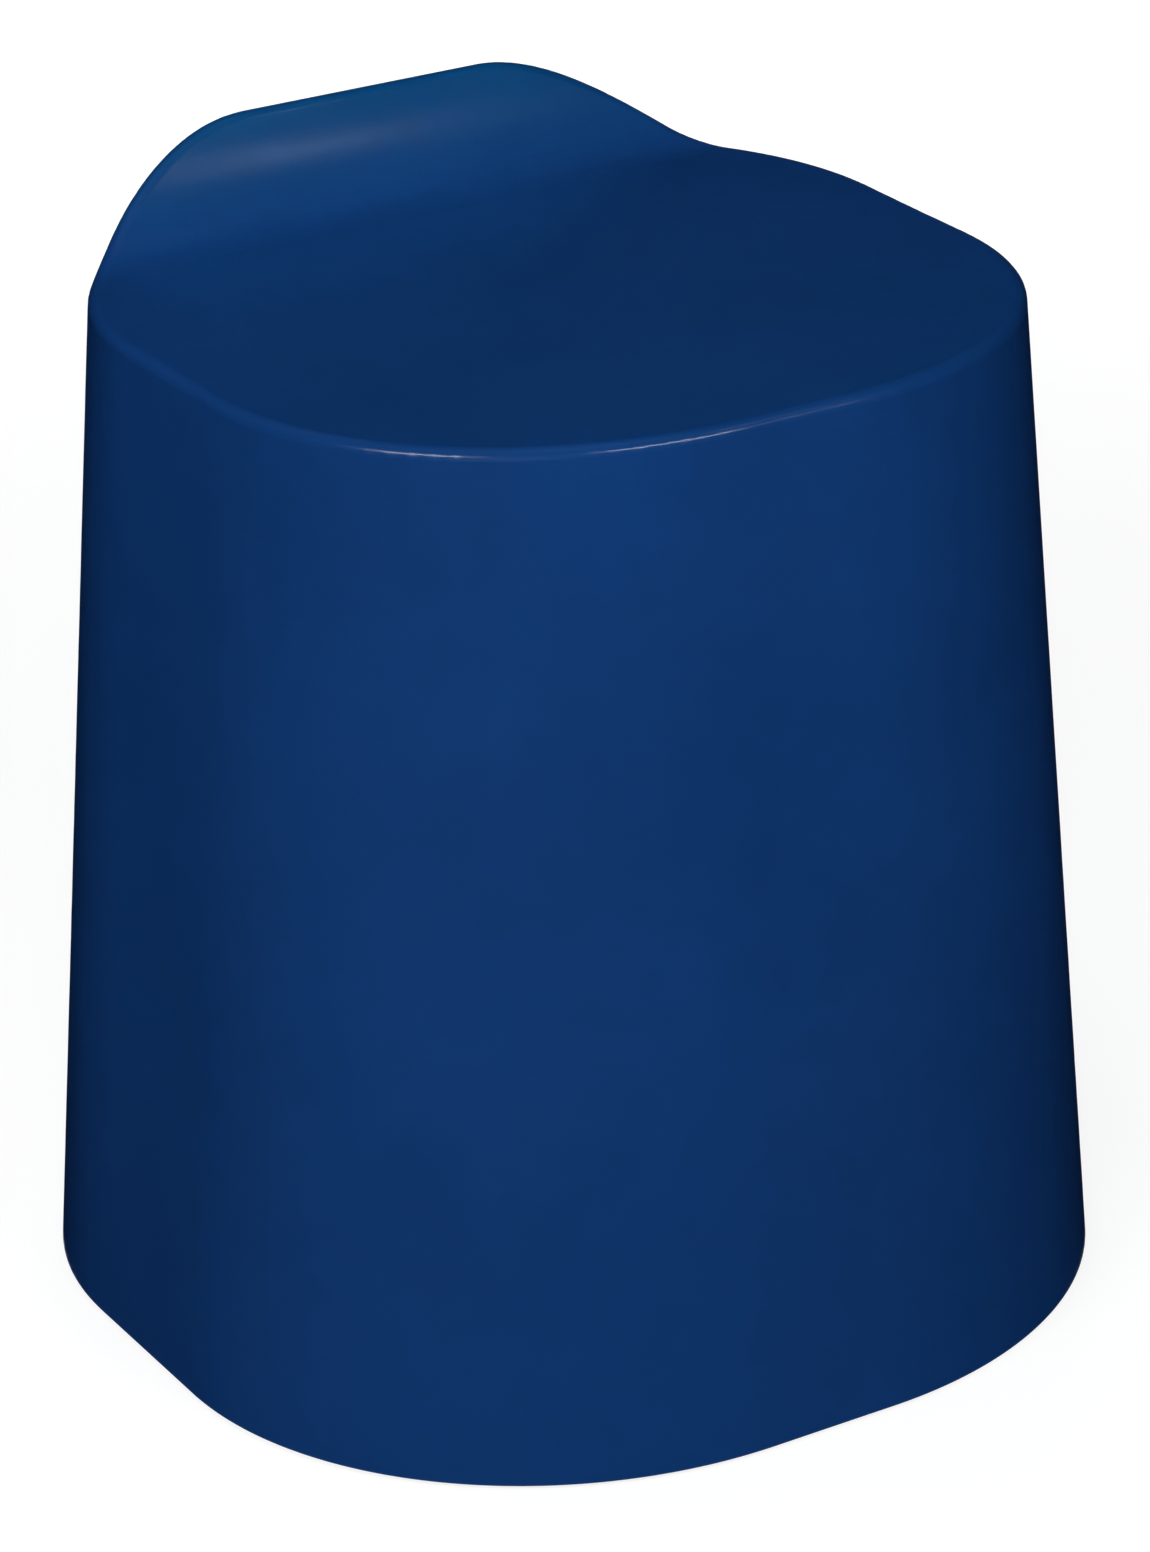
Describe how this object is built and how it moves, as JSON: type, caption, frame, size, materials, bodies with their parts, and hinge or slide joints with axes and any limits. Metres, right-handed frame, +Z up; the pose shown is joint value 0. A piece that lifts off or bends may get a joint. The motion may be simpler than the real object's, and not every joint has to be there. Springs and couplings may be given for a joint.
{
  "type": "moulded stool",
  "caption": "One-piece moulded plastic stool: a tapered, hollow body with a shallow dished seat and a raised rear lip, closed at the foot and standing on rubber pads.",
  "frame": {"origin": "on the floor, under the middle of the foot's box", "axes": "+Z up, -Y the front of the seat, +Y the side with the raised lip, +X to the sitter's left when facing -Y"},
  "size_m": [0.41, 0.3744, 0.457],
  "materials": {
    "shell": "satin to gloss moulded surface, navy blue",
    "base": "fine textured moulded surface, black",
    "pad": "soft matt rubber, dark grey",
    "steel": "zinc plated",
    "plug": "soft moulded plastic, dark grey"
  },
  "bodies": {
    "root": {"seat_shell": "shell", "base_plate": "base", "foot_pad_front_left": "pad", "foot_pad_front_right": "pad", "foot_pad_rear_left": "pad", "foot_pad_rear_right": "pad", "foot_washers": "steel", "foot_screws": "steel", "base_screws": "steel", "vent_plug": "plug"}
  },
  "joints": []
}
